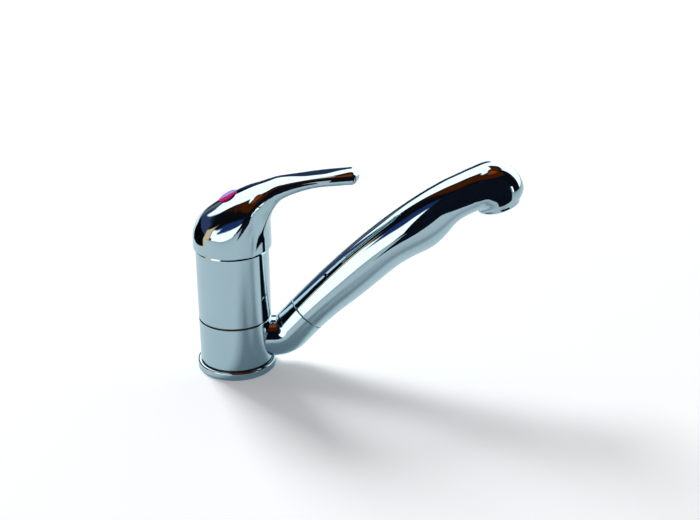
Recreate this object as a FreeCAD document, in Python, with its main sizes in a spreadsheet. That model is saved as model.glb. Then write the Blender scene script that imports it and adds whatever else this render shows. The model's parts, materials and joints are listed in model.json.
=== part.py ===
"""A single-lever mixer tap for a caravan. Millimetres, +Z up, spout and lever towards +X.

The origin is the middle of the flange's underside, where the tap meets the worktop.
"""
import FreeCAD, Part
import math
import os
import re

import Sketcher

os.makedirs("parts", exist_ok=True)
doc = FreeCAD.newDocument("mixer_tap")
V = FreeCAD.Vector

# The driving dimensions, in millimetres and degrees
SIZES = {
    # flange, collar and body
    "flange_lip": 2.0,
    "flange_height": 5.0,
    "flange_edge_round": 1.2,
    "neck_radius": 17.0,
    "body_radius": 23.0,
    "collar_height": 28.6,
    "slip_ring_height": 0.8,
    "slip_ring_radius": 22.0,
    "body_height": 48.2,
    "body_shoulder_height": 2.7,
    "body_shoulder_width": 2.5,
    "body_edge_height": 1.8,
    "body_edge_width": 0.9,
    "seam_edge": 0.3,
    "fixed_fit": 0.05,
    "turning_fit": 0.08,
    "gasket_inner_radius": 20.5,
    "gasket_width": 3.0,
    "gasket_depth": 2.0,
    "swivel_ring_section": 0.9,
    "swivel_ring_margin": 3.6,
    "ring_groove_slack": 0.2,
    "ring_slack": 0.03,
    "water_groove_radius": 15.0,
    "water_groove_height": 15.0,
    # inlets and fixing
    "inlet_x": 5.5,
    "inlet_y": 7.5,
    "inlet_thread_radius": 4.5,
    "inlet_thread_depth": 11.0,
    "passage_radius": 3.2,
    "cross_passage_radius": 2.9,
    "cut_overrun": 1.0,
    "outlet_port_x": 6.5,
    "stud_thread_radius": 3.4,
    "stud_thread_depth": 10.0,
    "stud_x": 11.0,
    # cartridge
    "cartridge_radius": 17.5,
    "cartridge_seat_depth": 33.2,
    "cartridge_base_height": 5.0,
    "cartridge_base_slack": 0.1,
    "cartridge_housing_height": 25.0,
    "chamber_radius": 15.0,
    "chamber_height": 19.7,
    "port_radius": 2.8,
    "seal_ring_radius": 4.4,
    "seal_section": 0.8,
    "disc_thickness": 4.0,
    "fixed_disc_radius": 14.6,
    "moving_disc_radius": 12.8,
    "moving_disc_setback": 1.75,
    "film_gap": 0.05,
    "mixing_hollow_length": 11.0,
    "mixing_hollow_width": 16.0,
    "mixing_hollow_depth": 2.0,
    "mixing_hollow_reach": 1.5,
    "carrier_plate_height": 0.95,
    "carrier_block_height": 5.8,
    "carrier_block_length": 14.0,
    "carrier_block_width": 17.6,
    "carrier_socket_clearance": 0.25,
    "carrier_socket_floor": 0.3,
    "carrier_mouth_rise": 0.8,
    "carrier_mouth_flare": 0.7,
    "guide_side_clearance": 0.1,
    "guide_rail_thickness": 4.2,
    "guide_rail_overhang": 2.0,
    "guide_rail_lift": 0.2,
    "guide_headroom": 0.2,
    "guide_flange_radius": 14.6,
    "guide_flange_height": 3.7,
    "guide_barrel_radius": 11.0,
    "guide_barrel_height": 9.5,
    "guide_slot_back": 8.6,
    "guide_slot_front": 5.4,
    "pivot_above_seat": 26.0,
    "pin_radius": 1.5,
    "pin_length": 20.6,
    "pin_slack": 0.02,
    "stem_side": 8.0,
    "stem_slot_clearance": 0.15,
    "stem_top_above_pivot": 30.0,
    "stem_foot_below_pivot": 3.0,
    "stem_finger_radius": 2.0,
    "stem_finger_length": 8.0,
    "stem_ball_radius": 2.6,
    "nut_height": 7.4,
    "nut_inner_radius": 12.3,
    "nut_thread_radius": 18.4,
    "nut_slot_width": 4.0,
    "nut_slot_depth": 2.4,
    # elbow stub and spout
    "tube_radius": 13.0,
    "waterway_radius": 7.5,
    "stub_height": 18.9,
    "seam_x": 45.7,
    "seam_z": 34.3,
    "seam_slope": 47.5,
    "bend_radius": 13.5,
    "socket_radius": 10.3,
    "socket_depth": 12.0,
    "spigot_length": 11.4,
    "spout_channel_radius": 9.6,
    "spout_flange_length": 3.0,
    "spout_ring_section": 0.9,
    "spout_ring_setback": 6.0,
    "waterway_crown_start": 95.0,
    "waterway_crown_step": 19.0,
    "crest_handle": 40.0,
    "nose_pivot_x": 151.2,
    "nose_pivot_z": 103.6,
    "nose_crook_radius": 0.6,
    "neck_angle": 113.0,
    "outlet_tilt": 17.0,
    "outlet_radius": 14.4,
    # outlet
    "aerator_ring_radius": 13.4,
    "aerator_ring_height": 2.4,
    "aerator_ring_round": 0.7,
    "aerator_thread_radius": 12.0,
    "aerator_thread_length": 8.0,
    "aerator_bore_radius": 10.2,
    "aerator_lip_radius": 9.2,
    "aerator_lip_height": 1.2,
    "aerator_insert_height": 6.0,
    "aerator_hole_radius": 0.8,
    "aerator_hole_spacing": 3.7,
    "washer_thickness": 1.6,
    "washer_inner_radius": 8.4,
    "washer_slack": 0.2,
    # lever
    "cap_radius": 24.7,
    "cap_wall": 1.2,
    "hood_radius": 26.0,
    "crest_radius": 105.0,
    "crest_x": 47.7,
    "crest_rise": 44.4,
    "socket_boss_radius": 9.0,
    "socket_boss_rise": 11.6,
    "stem_socket_clearance": 0.05,
    "marker_x": -1.3,
    "marker_radius": 6.1,
    "marker_depth": 2.2,
    "marker_proud": 0.4,
    "marker_clearance": 0.1,
    "screw_seat_rise": 25.6,
    "screw_radius": 2.0,
    "screw_length": 14.0,
    "screw_head_radius": 3.5,
    "screw_head_height": 2.2,
    "screw_slack": 0.02,
    "screw_hole_clearance": 0.3,
    "screw_seat_clearance": 0.4,
    "hex_socket_radius": 1.6,
}

sheet = doc.addObject("Spreadsheet::Sheet", "Sizes")
for row, (name, number) in enumerate(SIZES.items(), start=1):
    sheet.set(f"A{row}", name)
    sheet.set(f"B{row}", str(number))
    sheet.setAlias(f"B{row}", name)
doc.recompute()

# Heights and lengths that several pieces share, as expressions of the sheet's values
FLANGE_RADIUS = "body_radius + flange_lip"
COLLAR_BOTTOM = "flange_height + slip_ring_height"
COLLAR_TOP = f"{COLLAR_BOTTOM} + collar_height"
BODY_BOTTOM = f"{COLLAR_TOP} + slip_ring_height"
RIM = f"{BODY_BOTTOM} + body_height"
SEAT = f"{RIM} - cartridge_seat_depth"
LOWER_RING_Z = f"{COLLAR_BOTTOM} + swivel_ring_margin - swivel_ring_section"
UPPER_RING_Z = f"{COLLAR_TOP} - swivel_ring_margin - swivel_ring_section"
DISC_SEAT = f"{SEAT} + cartridge_base_height"
MOVING_DISC = f"{DISC_SEAT} + disc_thickness + film_gap"
CARRIER = f"{MOVING_DISC} + disc_thickness"
CARRIER_TOP = f"{CARRIER} + carrier_plate_height + carrier_block_height"
GUIDE = f"{DISC_SEAT} + chamber_height - guide_flange_height - guide_headroom"
HOUSING_TOP = f"{DISC_SEAT} + cartridge_housing_height"
PIVOT = f"{SEAT} + pivot_above_seat"
BALL = f"{PIVOT} - stem_finger_length"
STEM_TOP = f"{PIVOT} + stem_top_above_pivot"
CREST_TOP = f"{RIM} + crest_rise"
BOSS_BOTTOM = f"{RIM} + socket_boss_rise"
SCREW_SEAT = f"{RIM} + screw_seat_rise"


def linked(text):
    """Point every size name in an expression at the sheet."""
    return re.sub(r"[a-z][a-z_]+", lambda m: f"Sizes.{m.group()}" if m.group() in SIZES else m.group(), text)


def value(text):
    """The number that an expression of the sheet's values gives."""
    return float(sheet.evalExpression(linked(text)))


def bind(piece, **expressions):
    for prop, text in expressions.items():
        piece.setExpression(prop.replace("__", "."), linked(text))


def place(piece, x="0", y="0", z="0", tilt=None):
    """Move a piece, and where tilt is given turn its Z axis that many degrees towards +X."""
    if tilt is not None:
        piece.Placement = FreeCAD.Placement(V(), FreeCAD.Rotation(V(0, 1, 0), value(tilt)))
        bind(piece, Placement__Rotation__Angle=tilt)
    bind(piece, Placement__Base__x=x, Placement__Base__y=y, Placement__Base__z=z)
    return piece


def cylinder(name, radius, height, x="0", y="0", z="0", tilt=None):
    piece = doc.addObject("Part::Cylinder", name)
    bind(piece, Radius=radius, Height=height)
    return place(piece, x, y, z, tilt)


def box(name, length, width, height, x, y, z):
    piece = doc.addObject("Part::Box", name)
    bind(piece, Length=length, Width=width, Height=height)
    return place(piece, x, y, z)


def sphere(name, radius, x="0", z="0"):
    piece = doc.addObject("Part::Sphere", name)
    bind(piece, Radius=radius)
    return place(piece, x=x, z=z)


def ring(name, ring_radius, section, x="0", y="0", z="0", tilt=None):
    """A round-section ring lying flat."""
    piece = doc.addObject("Part::Torus", name)
    bind(piece, Radius1=ring_radius, Radius2=section)
    return place(piece, x, y, z, tilt)


def bend(name, bend_radius, section, angle, x, z, start):
    """A bent rod in the XZ plane round the point (x, z); start is the way from there to its first end."""
    piece = doc.addObject("Part::Torus", name)
    bind(piece, Radius1=bend_radius, Radius2=section, Angle3=angle)
    onward = V(0, -1, 0).cross(start)
    turn = FreeCAD.Rotation(start, onward, V(0, -1, 0), "ZXY")
    piece.Placement = FreeCAD.Placement(V(), turn)
    bind(piece, Placement__Base__x=x, Placement__Base__z=z)
    return piece


def joined(name, *pieces):
    whole = doc.addObject("Part::MultiFuse", name)
    whole.Shapes = list(pieces)
    return whole


def shared(name, *pieces):
    whole = doc.addObject("Part::MultiCommon", name)
    whole.Shapes = list(pieces)
    return whole


def less(name, base, *tools):
    """The base with every tool cut away."""
    cut = doc.addObject("Part::Cut", name)
    cut.Base = base
    cut.Tool = tools[0] if len(tools) == 1 else joined(f"{name}_tools", *tools)
    return cut


def solid(name, shape):
    """A piece whose shape is worked out from the sheet's values in this file."""
    piece = doc.addObject("Part::Feature", name)
    piece.Shape = shape
    piece.Placement = FreeCAD.Placement()
    return piece


def origin_plane(body, role):
    return next(feature for feature in body.Origin.OriginFeatures if feature.Role == role)


def turned(name, profile):
    """A body turned about Z from an outline of (radius, height) expressions."""
    body = doc.addObject("PartDesign::Body", name)
    sketch = body.newObject("Sketcher::SketchObject", f"{name}_outline")
    sketch.AttachmentSupport = (origin_plane(body, "XZ_Plane"), "")
    sketch.MapMode = "FlatFace"
    corners = [V(value(radius), value(height), 0) for radius, height in profile]
    count = len(corners)
    for index, corner in enumerate(corners):
        sketch.addGeometry(Part.LineSegment(corner, corners[(index + 1) % count]))
    for index in range(count):
        sketch.addConstraint(Sketcher.Constraint("Coincident", index, 2, (index + 1) % count, 1))
    vertical_axis = -2
    horizontal_axis = -1
    for index, pair in enumerate(profile):
        for kind, text, axis in zip(("DistanceX", "DistanceY"), pair, (vertical_axis, horizontal_axis)):
            if text == "0":
                sketch.addConstraint(Sketcher.Constraint("PointOnObject", index, 1, axis))
            else:
                number = sketch.addConstraint(Sketcher.Constraint(kind, -1, 1, index, 1, value(text)))
                sketch.setExpression(f"Constraints[{number}]", linked(text))
    spin = body.newObject("PartDesign::Revolution", f"{name}_turn")
    spin.Profile = sketch
    spin.ReferenceAxis = (sketch, ["V_Axis"])
    spin.Angle = 360
    return body


def round_edge(body, base, radius, edge_radius, edge_height):
    """Round the circular edge of a turned body that has this radius and height."""
    doc.recompute()
    for number, edge in enumerate(base.Shape.Edges, start=1):
        circle = edge.Curve
        if not isinstance(circle, Part.Circle):
            continue
        same_radius = abs(circle.Radius - value(edge_radius)) < 0.01
        if same_radius and abs(circle.Center.z - value(edge_height)) < 0.01:
            fillet = body.newObject("PartDesign::Fillet", f"{body.Name}_round")
            fillet.Base = (base, [f"Edge{number}"])
            bind(fillet, Radius=radius)
            return fillet
    raise ValueError(f"{body.Name} has no edge to round")


def tube_ring(name, inner, outer, bottom, height):
    top = f"{bottom} + {height}"
    return turned(name, [(inner, bottom), (outer, bottom), (outer, top), (inner, top)])


# Flange, gasket and the rings that the collar turns between
def base_ring():
    bore = "neck_radius + fixed_fit"
    groove_outer = "gasket_inner_radius + gasket_width"
    body = turned("base_ring", [
        (bore, "0"), ("gasket_inner_radius", "0"), ("gasket_inner_radius", "gasket_depth"),
        (groove_outer, "gasket_depth"), (groove_outer, "0"), (FLANGE_RADIUS, "0"),
        (FLANGE_RADIUS, "flange_height"), (bore, "flange_height"),
    ])
    round_edge(body, body.Tip, "flange_edge_round", FLANGE_RADIUS, "flange_height")
    return body


def base_seal():
    inner = "gasket_inner_radius + fixed_fit"
    outer = "gasket_inner_radius + gasket_width - fixed_fit"
    top = "gasket_depth - fixed_fit"
    return turned("base_seal", [(inner, "0"), (outer, "0"), (outer, top), (inner, top)])


def slip_ring(name, bottom):
    return tube_ring(name, "neck_radius + fixed_fit", "slip_ring_radius", bottom, "slip_ring_height")


def swivel_ring(name, centre):
    return ring(name, "neck_radius - swivel_ring_section", "swivel_ring_section - ring_slack", z=centre)


# The main casting, with its passages
def ring_groove(centre):
    """The outline of a neck groove that holds a round-section ring."""
    depth = "neck_radius - 2 * swivel_ring_section"
    low = f"{centre} - swivel_ring_section - ring_groove_slack"
    high = f"{centre} + swivel_ring_section + ring_groove_slack"
    return [("neck_radius", low), (depth, low), (depth, high), ("neck_radius", high)]


def valve_body():
    groove_low = "stub_height - water_groove_height / 2"
    groove_high = "stub_height + water_groove_height / 2"
    seat_radius = "cartridge_radius + fixed_fit"
    thread_radius = "nut_thread_radius + fixed_fit"
    top = f"{RIM} + body_shoulder_height"
    profile = [("0", "0"), ("neck_radius", "0")]
    profile += ring_groove(LOWER_RING_Z)
    profile += [("neck_radius", groove_low), ("water_groove_radius", groove_low)]
    profile += [("water_groove_radius", groove_high), ("neck_radius", groove_high)]
    profile += ring_groove(UPPER_RING_Z)
    profile += [
        ("neck_radius", BODY_BOTTOM), ("body_radius - seam_edge", BODY_BOTTOM),
        ("body_radius", f"{BODY_BOTTOM} + seam_edge"), ("body_radius", f"{RIM} - body_edge_height"),
        ("body_radius - body_edge_width", RIM), ("body_radius - body_shoulder_width", top),
        (thread_radius, top), (thread_radius, HOUSING_TOP),
        (seat_radius, HOUSING_TOP), (seat_radius, SEAT), ("0", SEAT),
    ]
    casting = turned("valve_casting", profile)
    tools = []
    for side, sign in (("hot", "-"), ("cold", "")):
        y = f"{sign}inlet_y"
        tools.append(cylinder(f"{side}_thread", "inlet_thread_radius", "inlet_thread_depth",
                              x="inlet_x", y=y))
        tools.append(cylinder(f"{side}_passage", "passage_radius", SEAT, x="inlet_x", y=y))
    drop_bottom = "stub_height - cross_passage_radius - cut_overrun"
    tools.append(cylinder("outlet_drop", "passage_radius", f"{SEAT} - ({drop_bottom})",
                          x="-outlet_port_x", z=drop_bottom))
    tools.append(cylinder("outlet_cross", "cross_passage_radius",
                          "water_groove_radius - outlet_port_x + 2 * cut_overrun",
                          x="-water_groove_radius - cut_overrun", z="stub_height", tilt="90"))
    tools.append(cylinder("stud_thread", "stud_thread_radius", "stud_thread_depth", x="-stud_x"))
    return less("valve_body", casting, *tools)


# The cartridge
PORTS = (("hot", "inlet_x", "-inlet_y"), ("cold", "inlet_x", "inlet_y"), ("mixed", "-outlet_port_x", "0"))


def port_holes(name, radius, height, bottom):
    return [cylinder(f"{name}_{port}", radius, height, x, y, bottom) for port, x, y in PORTS]


def seal_grooves(name, bottom):
    """Square-bottomed ring grooves round the three ports."""
    depth = "2 * seal_section"
    grooves = []
    for port, x, y in PORTS:
        outer = cylinder(f"{name}_{port}_outer", "seal_ring_radius + seal_section", depth, x, y, bottom)
        inner = cylinder(f"{name}_{port}_inner", "seal_ring_radius - seal_section", depth, x, y, bottom)
        grooves.append(less(f"{name}_{port}", outer, inner))
    return grooves


def port_seals(name, centre):
    seals = []
    for port, x, y in PORTS:
        seals.append(ring(f"{name}_{port}", "seal_ring_radius", "seal_section - ring_slack", x, y, centre))
    group = doc.addObject("Part::Compound", name)
    group.Links = seals
    return group


def cartridge_base():
    plate = cylinder("cartridge_base_plate", "cartridge_radius - cartridge_base_slack",
                     "cartridge_base_height", z=SEAT)
    tools = port_holes("base_port", "port_radius", "cartridge_base_height", SEAT)
    tools += seal_grooves("floor_groove", SEAT)
    tools += seal_grooves("disc_groove", f"{DISC_SEAT} - 2 * seal_section")
    return less("cartridge_base", plate, *tools)


def cartridge_housing():
    inner_top = f"{DISC_SEAT} + chamber_height"
    hole = "guide_barrel_radius + turning_fit"
    return turned("cartridge_housing", [
        ("chamber_radius", DISC_SEAT), ("cartridge_radius", DISC_SEAT), ("cartridge_radius", HOUSING_TOP),
        (hole, HOUSING_TOP), (hole, inner_top), ("chamber_radius", inner_top),
    ])


def fixed_disc():
    plate = cylinder("fixed_disc_plate", "fixed_disc_radius", "disc_thickness", z=DISC_SEAT)
    return less("fixed_disc", plate, *port_holes("disc_port", "port_radius", "disc_thickness", DISC_SEAT))


def moving_disc():
    plate = cylinder("moving_disc_plate", "moving_disc_radius", "disc_thickness",
                     x="-moving_disc_setback", z=MOVING_DISC)
    hollow = box("mixing_hollow", "mixing_hollow_length", "mixing_hollow_width", "mixing_hollow_depth",
                 "mixing_hollow_reach - mixing_hollow_length", "-mixing_hollow_width / 2", MOVING_DISC)
    return less("moving_disc", plate, hollow)


def disc_carrier():
    plate = cylinder("carrier_plate", "moving_disc_radius", "carrier_plate_height",
                     x="-moving_disc_setback", z=CARRIER)
    block = box("carrier_block", "carrier_block_length", "carrier_block_width", "carrier_block_height",
                "-carrier_block_length / 2", "-carrier_block_width / 2", f"{CARRIER} + carrier_plate_height")
    pocket_radius = "stem_ball_radius + carrier_socket_clearance"
    pocket_bottom = f"{BALL} - stem_ball_radius - carrier_socket_floor"
    mouth_bottom = f"{BALL} + carrier_mouth_rise"
    pocket = cylinder("carrier_pocket", pocket_radius, f"{CARRIER_TOP} - ({pocket_bottom})", z=pocket_bottom)
    mouth = cylinder("carrier_mouth", f"{pocket_radius} + carrier_mouth_flare",
                     f"{CARRIER_TOP} - ({mouth_bottom})", z=mouth_bottom)
    return less("disc_carrier", joined("carrier_solid", plate, block), pocket, mouth)


def stem_guide():
    """The turning guide: a flanged barrel with a slot for the stem and two rails for the carrier."""
    flange = cylinder("guide_flange", "guide_flange_radius", "guide_flange_height", z=GUIDE)
    barrel = cylinder("guide_barrel", "guide_barrel_radius", "guide_barrel_height",
                      z=f"{GUIDE} + guide_flange_height")
    rail_bottom = f"{CARRIER} + carrier_plate_height + guide_rail_lift"
    rail_height = f"{GUIDE} - ({rail_bottom})"
    rail_inner = "carrier_block_width / 2 + guide_side_clearance"
    blocks = []
    for side, y in (("hot", f"-({rail_inner}) - guide_rail_thickness"), ("cold", rail_inner)):
        blocks.append(box(f"rail_block_{side}", "carrier_block_length + 2 * guide_rail_overhang",
                          "guide_rail_thickness", rail_height,
                          "-carrier_block_length / 2 - guide_rail_overhang", y, rail_bottom))
    rails = shared("guide_rails", joined("rail_blocks", *blocks),
                   cylinder("rail_limit", "guide_flange_radius", rail_height, z=rail_bottom))
    slot = box("guide_slot", "guide_slot_back + guide_slot_front", "stem_side + 2 * stem_slot_clearance",
               "guide_flange_height + guide_barrel_height", "-guide_slot_back",
               "-stem_side / 2 - stem_slot_clearance", GUIDE)
    pin_hole = cross_pin("guide_pin_hole", "pin_radius + pin_slack",
                         "2 * (guide_barrel_radius + cut_overrun)")
    return less("stem_guide", joined("guide_solid", flange, barrel, rails), slot, pin_hole)


def cross_pin(name, radius, length):
    """A rod along Y through the lever's pivot."""
    rod = doc.addObject("Part::Cylinder", name)
    bind(rod, Radius=radius, Height=length)
    rod.Placement = FreeCAD.Placement(V(), FreeCAD.Rotation(V(1, 0, 0), -90))
    bind(rod, Placement__Base__y=f"-({length}) / 2", Placement__Base__z=PIVOT)
    return rod


def cartridge_stem():
    foot = f"{PIVOT} - stem_foot_below_pivot"
    bar = box("stem_bar", "stem_side", "stem_side", "stem_foot_below_pivot + stem_top_above_pivot",
              "-stem_side / 2", "-stem_side / 2", foot)
    finger = cylinder("stem_finger", "stem_finger_radius", "stem_finger_length - stem_foot_below_pivot",
                      z=BALL)
    ball = sphere("stem_ball", "stem_ball_radius", z=BALL)
    screw_hole = cylinder("stem_screw_hole", "screw_radius + screw_slack", "screw_length + cut_overrun",
                          z=f"{STEM_TOP} - screw_length")
    pin_hole = cross_pin("stem_pin_hole", "pin_radius + fixed_fit", "stem_side + 2 * cut_overrun")
    return less("cartridge_stem", joined("stem_solid", bar, finger, ball), screw_hole, pin_hole)


def cartridge_nut():
    nut = tube_ring("nut_ring", "nut_inner_radius", "nut_thread_radius", HOUSING_TOP, "nut_height")
    slot_bottom = f"{HOUSING_TOP} + nut_height - nut_slot_depth"
    across = "2 * (nut_thread_radius + cut_overrun)"
    slots = [
        box("nut_slot_x", across, "nut_slot_width", "nut_slot_depth", f"-({across}) / 2",
            "-nut_slot_width / 2", slot_bottom),
        box("nut_slot_y", "nut_slot_width", across, "nut_slot_depth", "-nut_slot_width / 2",
            f"-({across}) / 2", slot_bottom),
    ]
    return less("cartridge_nut", nut, *slots)


# The swivel collar and its elbow stub
RISE = "(90 - seam_slope)"
CORNER_X = "seam_x - (seam_z - stub_height) / tan(seam_slope)"
BEND_TANGENT = "bend_radius * tan(seam_slope / 2)"
BEND_START_X = f"{CORNER_X} - {BEND_TANGENT}"
BEND_END_X = f"{CORNER_X} + {BEND_TANGENT} * cos(seam_slope)"
BEND_END_Z = f"stub_height + {BEND_TANGENT} * sin(seam_slope)"
RISE_LENGTH = f"(seam_z - stub_height) / sin(seam_slope) - {BEND_TANGENT}"


def elbow(name, radius):
    """A rod that leaves the collar level, bends up and rises to the spout's seam."""
    down = V(0, 0, -1)
    level = cylinder(f"{name}_level", radius, BEND_START_X, z="stub_height", tilt="90")
    curve = bend(f"{name}_bend", "bend_radius", radius, "seam_slope", BEND_START_X,
                 "stub_height + bend_radius", down)
    rise = cylinder(f"{name}_rise", radius, RISE_LENGTH, x=BEND_END_X, z=BEND_END_Z, tilt=RISE)
    return joined(name, level, curve, rise)


def along_seam(distance):
    """Where a point lies that is this far up the spout from its seam."""
    return {"x": f"seam_x + ({distance}) * cos(seam_slope)", "z": f"seam_z + ({distance}) * sin(seam_slope)"}


def swivel_collar():
    edge = "body_radius - seam_edge"
    collar = turned("collar_outside", [
        ("0", COLLAR_BOTTOM), (edge, COLLAR_BOTTOM), ("body_radius", f"{COLLAR_BOTTOM} + seam_edge"),
        ("body_radius", f"{COLLAR_TOP} - seam_edge"), (edge, COLLAR_TOP), ("0", COLLAR_TOP),
    ])
    bore = cylinder("collar_bore", "neck_radius + turning_fit", "collar_height + 2 * cut_overrun",
                    z=f"{COLLAR_BOTTOM} - cut_overrun")
    socket = cylinder("stub_socket", "socket_radius", "socket_depth", tilt=RISE,
                      **along_seam("-socket_depth"))
    return less("swivel_collar", joined("collar_solid", collar, elbow("stub", "tube_radius")),
                bore, elbow("stub_waterway", "waterway_radius"), socket)


# The spout: stations along its crest, then a fan of sections round the nose
CREST_STATIONS = (
    # share of the crest, half height and half width of the section there
    (0.12, 13.5, 13.1),
    (0.25, 14.4, 13.2),
    (0.40, 14.8, 13.3),
    (0.52, 15.0, 13.4),
    (0.61, 15.8, 13.5),
    (0.68, 16.5, 13.5),
    (0.75, 16.0, 13.5),
    (0.81, 14.7, 13.5),
    (0.87, 13.3, 13.5),
    (0.93, 12.7, 13.5),
    (1.00, 12.6, 13.6),
)
NOSE_STATIONS = (
    # angle above level of a section hung from the nose's pivot, its half height and half width
    (96.0, 13.1, 13.9),
    (79.0, 15.0, 14.4),
    (62.0, 16.7, 14.7),
    (46.0, 17.1, 14.8),
    (33.0, 16.8, 14.8),
    (24.0, 16.0, 14.7),
)


def degrees(angle):
    return V(math.cos(math.radians(angle)), 0, math.sin(math.radians(angle)))


def crest_curve():
    """The spout's top line: one cubic curve from the seam to where the nose begins."""
    seam = V(value("seam_x"), 0, value("seam_z"))
    first_slope = value("seam_slope")
    last_slope = value("neck_angle") - 90
    pivot = V(value("nose_pivot_x"), 0, value("nose_pivot_z"))
    start = seam + degrees(first_slope + 90) * value("tube_radius")
    depth = value("nose_crook_radius") + 2 * CREST_STATIONS[-1][1]
    end = pivot + degrees(value("neck_angle")) * depth
    reach = value("crest_handle")
    curve = Part.BezierCurve()
    curve.setPoles([start, start + degrees(first_slope) * reach, end - degrees(last_slope) * reach, end])
    return curve


def spout_stations():
    """Each section's middle, its upward direction, half height and half width."""
    seam = V(value("seam_x"), 0, value("seam_z"))
    tube = value("tube_radius")
    stations = [(seam, degrees(value("seam_slope") + 90), tube, tube)]
    crest = crest_curve()
    for share, half_height, half_width in CREST_STATIONS:
        onward = V(crest.tangent(share)[0])
        up = V(-onward.z, 0, onward.x).normalize()
        stations.append((crest.value(share) - up * half_height, up, half_height, half_width))
    pivot = V(value("nose_pivot_x"), 0, value("nose_pivot_z"))
    outlet = value("outlet_radius")
    for angle, half_height, half_width in NOSE_STATIONS + ((value("outlet_tilt"), outlet, outlet),):
        up = degrees(angle)
        middle = pivot + up * (value("nose_crook_radius") + half_height)
        stations.append((middle, up, half_height, half_width))
    return stations


def oval(middle, up, half_height, half_width):
    """An oval in the plane of Y and the upward direction."""
    across = V(0, 1, 0)
    onward = up.cross(across)
    matrix = FreeCAD.Matrix(
        up.x * half_height, across.x * half_width, onward.x, middle.x,
        up.y * half_height, across.y * half_width, onward.y, middle.y,
        up.z * half_height, across.z * half_width, onward.z, middle.z,
    )
    return Part.Wire(Part.Circle(V(), V(0, 0, 1), 1).toShape().transformGeometry(matrix))


def outlet_middle():
    """The middle of the outlet's rim and its upward axis, tilted back from plumb."""
    reach = value("nose_crook_radius") + value("outlet_radius")
    pivot = V(value("nose_pivot_x"), 0, value("nose_pivot_z"))
    tilt = value("outlet_tilt")
    return pivot + degrees(tilt) * reach, degrees(tilt + 90)


def waterway(start, stations, outlet, outlet_axis):
    """A round pipe through the middles of the sections and down to the outlet."""
    radius = value("spout_channel_radius")
    pivot = V(value("nose_pivot_x"), 0, value("nose_pivot_z"))
    nose_reach = value("nose_crook_radius + outlet_radius")
    arm_stations = stations[2:len(CREST_STATIONS) + 1:2]
    middles = [start] + [station[0] for station in arm_stations]
    crown_start = value("waterway_crown_start")
    crown_step = value("waterway_crown_step")
    middles += [pivot + degrees(crown_start - crown_step * turn) * nose_reach for turn in range(4)]
    middles.append(outlet + outlet_axis * (value("aerator_thread_length") / 2))
    line = Part.BSplineCurve()
    line.interpolate(Points=middles)
    first_tangent = line.tangent(line.FirstParameter)[0]
    mouth = Part.Wire(Part.Circle(start, first_tangent, radius).toShape())
    return Part.Wire(line.toShape()).makePipeShell([mouth], True, False)


def spout_arm():
    stations = spout_stations()
    seam, seam_up = stations[0][:2]
    onward = V(seam_up.z, 0, -seam_up.x)
    flange_length = value("spout_flange_length")
    spigot_length = value("spigot_length")
    spigot_radius = value("socket_radius - fixed_fit")
    spigot_end = seam - onward * spigot_length
    spigot = Part.makeCylinder(spigot_radius, spigot_length + flange_length / 2, spigot_end, onward)
    overrun = value("cut_overrun")
    bore = Part.makeCylinder(value("waterway_radius"), spigot_length + flange_length + 2 * overrun,
                             spigot_end - onward * overrun, onward)
    groove_half = value("spout_ring_section + ring_groove_slack")
    groove_start = seam - onward * (value("spout_ring_setback") + groove_half)
    groove_floor = value("socket_radius - fixed_fit - 2 * spout_ring_section")
    groove = Part.makeCylinder(spigot_radius + overrun, 2 * groove_half, groove_start, onward)
    groove = groove.cut(Part.makeCylinder(groove_floor, 2 * groove_half, groove_start, onward))
    middle, axis = outlet_middle()
    chamber_depth = value("aerator_thread_length + washer_thickness + 2 * washer_slack")
    chamber = Part.makeCylinder(value("aerator_thread_radius"), chamber_depth + overrun,
                                middle - axis * overrun, axis)
    arm = Part.makeLoft([oval(*station) for station in stations], True, False).fuse(spigot)
    for tool in (chamber, waterway(seam + onward * flange_length, stations, middle, axis), bore, groove):
        arm = arm.cut(tool)
    return solid("spout_arm", arm)


def spout_o_ring():
    return ring("spout_o_ring", "socket_radius - fixed_fit - spout_ring_section",
                "spout_ring_section - ring_slack", tilt=RISE, **along_seam("-spout_ring_setback"))


# The outlet's pieces, made upright about the rim's middle and then tilted with it
def at_outlet(piece):
    reach = "(nose_crook_radius + outlet_radius)"
    return place(piece, x=f"nose_pivot_x + {reach} * cos(outlet_tilt)",
                 z=f"nose_pivot_z + {reach} * sin(outlet_tilt)", tilt="-outlet_tilt")


def aerator_housing():
    thread = "aerator_thread_radius - fixed_fit"
    low = "-aerator_ring_height"
    lip_top = "aerator_lip_height - aerator_ring_height"
    body = turned("aerator_housing", [
        ("aerator_lip_radius", low), ("aerator_ring_radius", low), ("aerator_ring_radius", "0"),
        (thread, "0"), (thread, "aerator_thread_length"), ("aerator_bore_radius", "aerator_thread_length"),
        ("aerator_bore_radius", lip_top), ("aerator_lip_radius", lip_top),
    ])
    round_edge(body, body.Tip, "aerator_ring_round", "aerator_ring_radius", low)
    return at_outlet(body)


def aerator_insert():
    bottom = "aerator_lip_height - aerator_ring_height"
    plug = cylinder("insert_plug", "aerator_bore_radius - fixed_fit", "aerator_insert_height", z=bottom)
    holes = []
    for circle in range(3):
        count = max(1, 6 * circle)
        for step in range(count):
            angle = 360 / count * step
            across = f"{circle} * aerator_hole_spacing * cos({angle} deg)"
            along = f"{circle} * aerator_hole_spacing * sin({angle} deg)"
            holes.append(cylinder(f"insert_hole_{circle}_{step}", "aerator_hole_radius",
                                  "aerator_insert_height", x=across, y=along, z=bottom))
    return at_outlet(less("aerator_insert", plug, *holes))


def aerator_washer():
    outer = "aerator_thread_radius - washer_slack"
    return at_outlet(tube_ring("aerator_washer", "washer_inner_radius", outer,
                               "aerator_thread_length", "washer_thickness"))


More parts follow.
